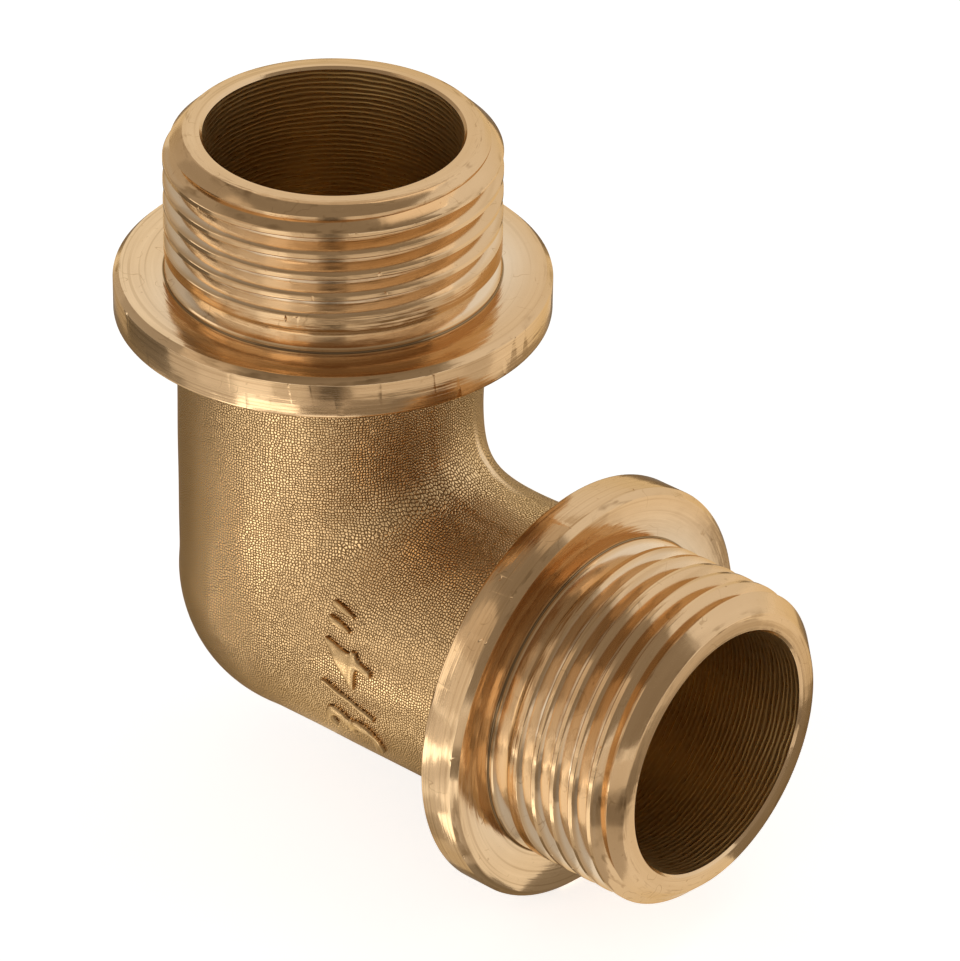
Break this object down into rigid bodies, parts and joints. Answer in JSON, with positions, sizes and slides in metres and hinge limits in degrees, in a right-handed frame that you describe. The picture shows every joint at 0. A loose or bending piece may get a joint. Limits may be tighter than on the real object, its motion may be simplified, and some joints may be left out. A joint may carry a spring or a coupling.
{
  "type": "male threaded elbow",
  "caption": "Forged brass right-angle pipe fitting with a male parallel pipe thread and a flat sealing collar on each leg, drilled through from end to end.",
  "frame": {"origin": "crossing of the axes of the two legs", "axes": "+Z along the axis of the upright leg, towards its open end; +X along the axis of the other leg, towards its open end"},
  "size_m": [0.0565, 0.034, 0.0565],
  "materials": {
    "brass": "forged and blasted body, turned and threaded ends, lightly worn"
  },
  "bodies": {
    "root": {"elbow": "brass"}
  },
  "joints": []
}
